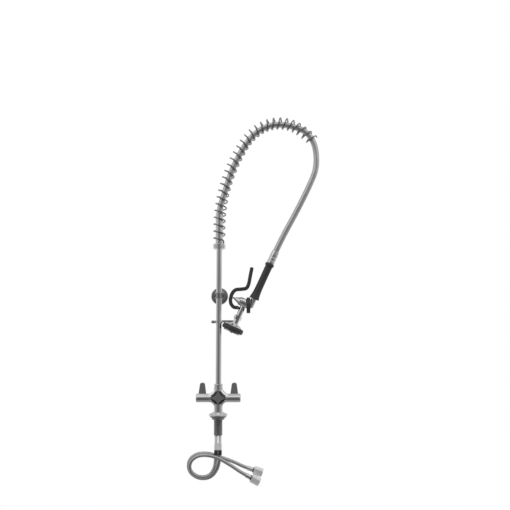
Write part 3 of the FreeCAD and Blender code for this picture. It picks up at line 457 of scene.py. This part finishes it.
# the wire rises from the collar and eases into its first turn
wire = springLine()
leave = (wire[1] - wire[0]).normalized()
foot = wire[0] - leave * coil["back"] * mm
foot.z = coil["low"] * mm
rise = coil["foot"] * mm
leadIn = [foot, foot + Vector((0, 0, rise))]
bendStart, bendEnd = leadIn[-1], wire[0]
for i in range(1, coil["easeSteps"]):
    share = i / coil["easeSteps"]
    fromFoot = bendStart + Vector((0, 0, 1)) * share * rise * coil["easeUp"]
    intoTurn = bendEnd - leave * (1 - share) * coil["back"] * mm * coil["easeBack"]
    blend = share * share * (3 - 2 * share)
    leadIn.append(fromFoot * (1 - blend) + intoTurn * blend)
springData = bpy.data.curves.new("overheadSpring", "CURVE")
springData.dimensions = "3D"
springData.bevel_depth = coil["wire"] / 2 * mm
springData.bevel_resolution = 5
springData.use_fill_caps = True
springSpline = springData.splines.new("POLY")
springPoints = leadIn + wire + [wire[-1] + (wire[-1] - wire[-2]).normalized() * coil["wire"] * mm]
springSpline.points.add(len(springPoints) - 1)
for point, at in zip(springSpline.points, springPoints):
    point.co = (*at, 1)
springSpline.use_smooth = True
overheadSpring = bpy.data.objects.new("overheadSpring", springData)
scene.collection.objects.link(overheadSpring)
springData.materials.append(springChrome)
fit(overheadSpring, "chrome", "overhead_spring")

print("base")
base = {"flange": 31.0, "rim": 5.5, "top": 16.0, "gasket": 3.5, "barrel": 14.45}
addPiece("baseFlange", stand(turned([
    (base["barrel"], base["gasket"]), (base["flange"] - 1.2, base["gasket"], 0.5),
    (base["flange"], base["gasket"] + base["rim"] * 0.3, 1.0),
    (base["flange"], base["gasket"] + base["rim"], 1.5), (base["barrel"] + 6.0, base["top"] - 2.2, 8),
    (base["barrel"] + 1.5, base["top"], 0.6), (base["barrel"], base["top"])], cuts=6)),
    chrome, "chrome", "base_flange")
shank = {"radius": 14.3, "bore": 11.9, "low": -59.5, "top": 3.5, "pitch": 1.8, "depth": 0.75, "steps": 60,
         "ends": 0.8}


def threaded(radius, bore, low, top, pitch, depth, steps, ends):
    # the ridge is one pitch of outline carried up a helix, over a plain core
    core = radius - depth
    bm = turned([(bore, low), (core - 0.6, low), (core, low + 0.6), (core, top), (bore, top)], edge=0.1)
    ridge = bmesh.new()
    line = [ridge.verts.new((r, 0, low + ends + h)) for r, h in (
        (core - 0.1, 0.0), (radius - 0.06, pitch * 0.42), (radius, pitch * 0.5),
        (radius - 0.06, pitch * 0.58), (core - 0.1, pitch))]
    for one, two in zip(line, line[1:]):
        ridge.edges.new((one, two))
    turns = int((top - low - ends * 2) / pitch) - 1
    bmesh.ops.spin(ridge, geom=ridge.verts[:] + ridge.edges[:], cent=(0, 0, 0), axis=(0, 0, 1),
                   dvec=(0, 0, pitch / steps), angle=2 * math.pi * turns, steps=steps * turns,
                   use_merge=False)
    bmesh.ops.recalc_face_normals(ridge, faces=ridge.faces)
    outward = sum(face.normal.dot(Vector((face.calc_center_median().x, face.calc_center_median().y, 0)))
                  for face in ridge.faces)
    if outward < 0:
        bmesh.ops.reverse_faces(ridge, faces=ridge.faces)
    spare = bpy.data.meshes.new("ridge")
    ridge.to_mesh(spare)
    ridge.free()
    bm.from_mesh(spare)
    bpy.data.meshes.remove(spare)
    return bm


addPiece("threadedShank", stand(threaded(**shank)), shankMetal, "dark_metal", "threaded_shank")
nut = {"radius": 21.0, "washer": 22.5, "hole": 14.36, "washerLow": -2.5, "low": -8.0}
addPiece("mountingWasher", stand(turned([
    (nut["hole"], nut["washerLow"]), (nut["washer"], nut["washerLow"], 0.4), (nut["washer"], 0, 0.4),
    (nut["hole"], 0)])), shankMetal, "dark_metal", "mounting_washer")
addPiece("mountingNut", stand(flute(turned([
    (nut["hole"], nut["low"]), (nut["radius"], nut["low"], 1.0), (nut["radius"], nut["washerLow"]),
    (nut["hole"], nut["washerLow"])], steps=72), nut["radius"], nut["low"], nut["washerLow"], 0.5)),
    shankMetal, "dark_metal", "mounting_nut")

print("mixer body and handles")
mixer = {"facet": -15.6, "paintedBorderEnd": -11.4, "arm": 14.45, "barrel": 14.65, "armHeight": 62.2,
         "flank": (-0.97, -0.02)}


def paintedStarBorder(bm):
    # the flanks round the star facet are cut where their dark border ends, and the border faces take the
    # second slot's near-black metal, a painted dark reflection round the facet; a flank is known by how far
    # its normal turns to the front
    bmesh.ops.bisect_plane(bm, geom=bm.verts[:] + bm.edges[:] + bm.faces[:], dist=1e-6,
                           plane_co=(0, mixer["paintedBorderEnd"] * mm, 0), plane_no=(0, 1, 0))
    for face in bm.faces:
        x, y, z = face.calc_center_median() / mm
        offArm = math.hypot(y, z - mixer["armHeight"]) > mixer["arm"]
        offBarrel = math.hypot(x, y) > mixer["barrel"]
        inPaintedBorder = mixer["facet"] < y < mixer["paintedBorderEnd"] and offArm and offBarrel
        if inPaintedBorder and mixer["flank"][0] < face.normal.y < mixer["flank"][1]:
            face.material_index = 1


mixerBody = addCopy("mixerBody", "mixer_body", chrome, "chrome", edge=0.5, shape=paintedStarBorder)
# second slot: the star border's painted dark reflection
mixerBody.data.materials.append(paintedReflectionMetal)
tap = {"axis": 62.2, "radius": 14.2, "head": 4.2, "capStart": 67.3, "end": 70.0, "cap": 74.7}
for side, sign in (("hot", -1), ("cold", 1)):
    addCopy(side + "Handle", side + "_handle", chrome, "chrome", edge=0.4)
    addPiece(side + "HandleCap", stand(turned([
        (0, tap["capStart"]), (tap["head"], tap["capStart"]), (tap["head"], tap["end"], 0),
        (tap["radius"], tap["end"] + 0.15, 0.25), (tap["radius"], tap["cap"], 3.6), (0, tap["cap"])],
        cuts=8), (0, 0, tap["axis"]), (sign, 0, 0)), chrome, "chrome", side + "_handle_cap")

print("riser and bracket")
riser = {"radius": 9.5, "bore": 8.2, "low": 84.0, "top": 612.0}
addPiece("riserPipe", stand(turned([
    (riser["bore"], riser["low"]), (riser["radius"], riser["low"]), (riser["radius"], riser["top"], 0.5),
    (riser["bore"], riser["top"])])), chrome, "chrome", "riser_pipe")
bracket = {"height": 404.6, "wall": 50.0, "disc": 29.5, "thick": 5.0, "boss": 18.5, "bossThick": 7.0,
           "hole": 6.25}
discFront = bracket["wall"] - bracket["thick"]
bossFront = discFront - bracket["bossThick"]
addPiece("wallFlange", stand(turned([
    (bracket["hole"], bossFront), (bracket["boss"] - 3.5, bossFront, 2),
    (bracket["boss"], discFront - 0.8, 1.5),
    (bracket["disc"] - 4.5, discFront, 0.5), (bracket["disc"] - 2.6, discFront - 1.8, 1.2),
    (bracket["disc"], discFront + 1.2, 1.5), (bracket["disc"], bracket["wall"]),
    (bracket["hole"], bracket["wall"])], cuts=6), (0, 0, bracket["height"]), (0, 1, 0)),
    flangeMetal, "chrome", "wall_flange")
addCopy("bracketArm", "wall_bracket_arm", flangeMetal, "chrome", edge=0.3)
addCopy("clampFront", "clamp_front", flangeMetal, "chrome", edge=0.3)
addCopy("clampScrews", "clamp_screws", shankMetal, "dark_metal", edge=0.2)

print("finger hook")
addCopy("fingerHook", "finger_hook", chrome, "chrome", edge=0.35)
thumb = {"height": 315.45, "thread": 3.0, "start": 14.25, "radius": 4.75, "reach": 24.7, "inner": 9.55}
addPiece("hookThumbScrew", stand(flute(turned([
    (0, thumb["inner"]), (thumb["thread"], thumb["inner"]), (thumb["thread"], thumb["start"], 0.1),
    (thumb["radius"], thumb["start"], 0.5), (thumb["radius"], thumb["reach"], 0.9), (0, thumb["reach"])],
    steps=48), thumb["radius"], thumb["start"], thumb["reach"], 0.3), (0, 0, thumb["height"]), (-1, 0, 0)),
    shankMetal, "dark_metal", "hook_thumb_screw")

print("foot of the spring")
seat = {"pipe": 9.55, "radius": 21.25, "low": 564.0, "high": 570.5, "gap": 0.3, "collar": 581.0}
addPiece("springSeat", stand(turned([
    (seat["pipe"], seat["low"]), (seat["radius"] - 4, seat["low"], 0.6),
    (seat["radius"], seat["low"] + 1.6, 1.2), (seat["radius"], seat["high"], 0.6),
    (seat["pipe"], seat["high"])])), chrome, "chrome", "spring_seat")
addPiece("swivelCollar", stand(turned([
    (seat["pipe"], seat["high"] + seat["gap"]), (seat["radius"], seat["high"] + seat["gap"], 0.6),
    (seat["radius"], seat["collar"], 1.2), (seat["pipe"], seat["collar"])])),
    chrome, "chrome", "swivel_collar")
column = {"radius": 13.0, "top": 689.5, "pipe": 9.56, "hose": 10.25, "socket": 677.5}
addPiece("springBody", stand(turned([
    (column["pipe"], seat["collar"]), (column["radius"], seat["collar"]),
    (column["radius"], column["top"], 1.2), (column["hose"], column["top"]),
    (column["hose"], column["socket"]), (column["pipe"], column["socket"])])),
    chrome, "chrome", "spring_body")

print("ferrule, grip and valve")
ferrule = {"radius": 13.2, "low": 4.3, "step": 37.5, "top": 50.0, "end": 38.0, "stem": 5.55,
           "hose": 10.25, "groove": 0.8, "grooves": ((14.0, 17.0), (26.0, 29.0))}
outline = [(ferrule["stem"], ferrule["low"]), (ferrule["radius"], ferrule["low"], 1)]
for low, high in ferrule["grooves"]:
    outline += [(ferrule["radius"], low - 1.0, 0.5), (ferrule["radius"] - ferrule["groove"], low, 0.5),
                (ferrule["radius"] - ferrule["groove"], high, 0.5), (ferrule["radius"], high + 1.0, 0.5)]
outline += [(ferrule["radius"], ferrule["step"]), (ferrule["radius"] - 0.9, ferrule["top"], 0.6),
            (ferrule["hose"], ferrule["top"]), (ferrule["hose"], ferrule["end"]),
            (ferrule["stem"], ferrule["end"])]
addPiece("hoseFerrule", lean(turned(outline)), chrome, "chrome", "hose_end_ferrule")
grip = {"tube": 8.05, "radius": 12.5, "flare": 17.0, "length": 128.0, "flareLength": 40.0, "top": -5.3,
        "collar": 15.4, "collarLow": -5.0, "collarTop": 4.0, "stem": 5.56}
addPiece("gripSleeve", lean(turned([
    (grip["tube"], -grip["length"]), (grip["flare"], -grip["length"], 1.2),
    (grip["flare"], -grip["length"] + 3.0, 1.0),
    (grip["radius"] + 1.55, -grip["length"] + grip["flareLength"] / 3, 12),
    (grip["radius"], -grip["length"] + grip["flareLength"], 16), (grip["radius"], grip["top"], 0.8),
    (grip["tube"], grip["top"])], cuts=8)), gripRubber, "rubber", "grip_sleeve")
addPiece("gripCollar", lean(turned([
    (grip["tube"], grip["collarLow"]), (grip["collar"], grip["collarLow"], 0.8),
    (grip["collar"], grip["collarTop"] - 1.8, 0.8), (grip["collar"] - 1.6, grip["collarTop"], 0.8),
    (grip["stem"], grip["collarTop"]), (grip["stem"], 0), (grip["tube"], 0)])),
    gripRubber, "rubber", "grip_collar")
addCopy("valveBody", "valve_body", chrome, "chrome", edge=0.4)
bonnet = {"stem": 2.96, "radius": 14.5, "inner": 30.0, "start": 36.0, "lip": 4.5, "waist": (11.0, 45.0, 3),
          "neck": (6.7, 54.0, 3), "end": 59.0, "tip": 5.5, "bore": 8.95}
addPiece("valveBonnet", leanSideways(turned([
    (bonnet["stem"], bonnet["inner"]), (bonnet["bore"], bonnet["inner"]),
    (bonnet["bore"], bonnet["start"], 0), (bonnet["radius"], bonnet["start"]),
    (bonnet["radius"], bonnet["start"] + bonnet["lip"], 1.5), bonnet["waist"], bonnet["neck"],
    (bonnet["tip"], bonnet["end"], 1), (bonnet["stem"], bonnet["end"])], cuts=6)),
    chrome, "chrome", "bonnet")

# the return spring gets a mesh of its own; on the real valve it shortens towards the stem's washer as the
# lever is squeezed
valveSpring = addCopy("valveSpring", "valve_spring", steel, "steel", edge=0, crease=60)
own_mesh(valveSpring)

print("lever and ring")
crossing = alongSpray(-spray["inlet"]) / mm
addCopy("squeezeLever", "lever", leverPlastic, "black_plastic", edge=0.4, crease=40)
ring = {"x": -7.9, "z": 1.54, "inner": 22.0, "outer": 27.0, "thick": 12.6}
addPiece("holdDownRing", stand(turned([
    (ring["inner"], -ring["thick"] / 2, 1), (ring["outer"], -ring["thick"] / 2, 1.6),
    (ring["outer"], ring["thick"] / 2, 1.6), (ring["inner"], ring["thick"] / 2, 1)]),
    crossing + Vector((ring["x"], 0, ring["z"])), (1, 0, 0)), gripRubber, "rubber", "hold_down_ring")

print("spray head")
addCopy("sprayNut", "spray_nut", chrome, "chrome", edge=0.3)
addCopy("sprayShell", "spray_shell", chrome, "chrome", edge=0.2)
head = {"bumper": 37.5, "low": 258.5, "high": 240.5, "shell": 29.55}
addPiece("sprayBumper", lean(turned([
    (head["shell"], -head["low"]), (head["bumper"] - 2.5, -head["low"], 3.5),
    (head["bumper"], -head["low"] + 6.0, 4.0), (head["bumper"], -head["high"] - 5.0, 4.0),
    (head["bumper"] - 3.0, -head["high"], 3.5), (head["shell"], -head["high"], 0.8)], cuts=6),
    -spray["outlet"]), gripRubber, "rubber", "bumper")
addCopy("sprayFace", "spray_face", steel, "steel", edge=0.1)
addCopy("faceScrew", "face_screw", steel, "steel", edge=0.2)

print("tail fittings")
for side, route, tube, line, length in tails:
    nutNode = side + "_tail_nut"
    copy = addCopy(side + "TailNut", nutNode, satin, "chrome", edge=0.3)
addCopy("tailStems", "tail_stems", brightSteel, "chrome", edge=0.2)
addCopy("tailUpperFerrules", "tail_upper_ferrules", brightSteel, "chrome", edge=0.2)
addCopy("tailSleeves", "tail_sleeves", sealRubber, "rubber", edge=0.2)
addCopy("tailEndFerrules", "tail_end_ferrules", chrome, "chrome", edge=0.2)
addCopy("tailSpacers", "tail_spacers", darkMetal, "dark_metal", edge=0.2)

print("plain nodes")
plain = {
    "base_gasket": paleRubber, "riser_seal": sealRubber, "swivel_seal": sealRubber,
    "swivel_gasket": sealRubber, "spray_gasket": sealRubber, "tail_gaskets": sealRubber,
    "seat_washer": sealRubber, "hot_cartridge": brass, "cold_cartridge": brass, "hot_spindle": brass,
    "cold_spindle": brass, "hot_handle_screw": steel, "cold_handle_screw": steel, "swivel_stem": brass,
    "grip_tube": steel, "lever_pin": steel, "valve_stem": steel}
for name, material in plain.items():
    nodes[name].data.materials.clear()
    nodes[name].data.materials.append(material)

print("floor, world and lamps")


def ladder(tree, value, stops):
    # a ramp from pairs of (value, level), for values from -1 to 1
    ramp = addNode(tree, "ShaderNodeValToRGB", {0: sums(tree, "MULTIPLY_ADD", value, 0.5, 0.5)})
    marks = ramp.color_ramp.elements
    while len(marks) < len(stops):
        marks.new(0.5)
    for mark, (at, level) in zip(marks, stops):
        mark.position = at * 0.5 + 0.5
        mark.color = (level, level, level, 1)
    return ramp.outputs[0]


studio = {"floor": -0.95, "front": -0.4, "back": 9.0, "wide": 9.0, "fill": 0.62, "aim": (0.15, 0, 0.4)}
floorMesh = bmesh.new()
bmesh.ops.create_grid(floorMesh, x_segments=1, y_segments=1, size=0.5)
bmesh.ops.scale(floorMesh, vec=(studio["wide"], studio["back"] - studio["front"], 1), verts=floorMesh.verts)
bmesh.ops.translate(floorMesh, vec=(0, (studio["back"] + studio["front"]) / 2, studio["floor"]),
                    verts=floorMesh.verts)
floorData = bpy.data.meshes.new("studioFloor")
floorMesh.to_mesh(floorData)
floorMesh.free()
floor = bpy.data.objects.new("studioFloor", floorData)
scene.collection.objects.link(floor)
floorMaterial, tree, shader = startMaterial("paleFloor")
shader.inputs["Base Color"].default_value = (0.86, 0.86, 0.86, 1)
shader.inputs["Roughness"].default_value = 0.9
light = addNode(tree, "ShaderNodeLightPath")
clear = sums(tree, "MAXIMUM", light.outputs["Is Camera Ray"], light.outputs["Is Transmission Ray"])
seen = sums(tree, "MAXIMUM", clear, light.outputs["Is Glossy Ray"])
# metal sees the floor dim in front of the object and lighter far behind it
depth = addNode(tree, "ShaderNodeSeparateXYZ", {0: objectPlace(tree)}).outputs[1]
dim = ladder(tree, sums(tree, "MULTIPLY", depth, 0.2), (
    (-0.08, 0.26), (-0.03, 0.36), (0.06, 0.4), (0.16, 0.46), (0.4, 0.8)))
strength = addNode(tree, "ShaderNodeMix", {0: clear, 2: dim, 3: 1.0}).outputs[0]
white = addNode(tree, "ShaderNodeEmission", {"Color": (1, 1, 1, 1), "Strength": strength})
mix = addNode(tree, "ShaderNodeMixShader", {0: seen, 1: shader.outputs[0], 2: white.outputs[0]})
tree.links.new(mix.outputs[0], tree.nodes["Material Output"].inputs["Surface"])
floorData.materials.append(floorMaterial)

# the metal sees a dark room on the camera's side, a bright ceiling and the white backdrop
world = bpy.data.worlds.new("studioWorld")
scene.world = world
world.use_nodes = True
tree = world.node_tree
tree.nodes.clear()
around = addNode(tree, "ShaderNodeTexCoord").outputs["Generated"]
direction = addNode(tree, "ShaderNodeSeparateXYZ", {0: around})
facing, rising = direction.outputs[1], direction.outputs[2]
horizon = ladder(tree, facing, (
    (-1, 0.12), (-0.93, 0.2), (-0.76, 0.34), (0, 0.44), (0.3, 0.6), (0.7, 0.95), (0.9, 0.6), (1, 0.25)))
under = ladder(tree, facing, ((-1, 0.1), (-0.72, 0.11), (-0.45, 0.26), (-0.1, 0.38), (0.6, 0.44), (1, 0.4)))
over = ladder(tree, facing, (
    (-1, 0.18), (-0.9, 0.36), (-0.75, 0.7), (-0.6, 0.88), (-0.12, 0.6), (0.6, 0.56), (1, 0.5)))
below = ladder(tree, rising, ((-0.3, 0), (-0.02, 1)))
above = ladder(tree, rising, ((0.08, 0), (0.36, 1)))
low = addNode(tree, "ShaderNodeMix", {0: below, 2: under, 3: horizon}).outputs[0]
room = addNode(tree, "ShaderNodeMix", {0: above, 2: low, 3: over}).outputs[0]
light = addNode(tree, "ShaderNodeLightPath")
plainLight = addNode(tree, "ShaderNodeMix", {
    0: light.outputs["Is Diffuse Ray"], 2: room, 3: studio["fill"]}).outputs[0]
seen = sums(tree, "MAXIMUM", light.outputs["Is Camera Ray"], light.outputs["Is Transmission Ray"])
level = addNode(tree, "ShaderNodeMix", {0: seen, 2: plainLight, 3: 1.0}).outputs[0]
back = addNode(tree, "ShaderNodeBackground", {"Color": (1, 1, 1, 1), "Strength": level})
addNode(tree, "ShaderNodeOutputWorld", {"Surface": back.outputs[0]})

lamps = {"softKey": ((-1.3, -1.6, 2.1), 22.0, 1.4), "softFill": ((1.7, -1.2, 0.9), 9.0, 1.2),
         "softTop": ((0.2, 0.9, 2.6), 14.0, 1.6)}
for name, (place, power, size) in lamps.items():
    lampData = bpy.data.lights.new(name, "AREA")
    lampData.energy = power
    lampData.size = size
    lamp = bpy.data.objects.new(name, lampData)
    lamp.location = place
    lamp.rotation_euler = (Vector(studio["aim"]) - Vector(place)).to_track_quat("-Z", "Y").to_euler()
    lamp.visible_glossy = False
    scene.collection.objects.link(lamp)
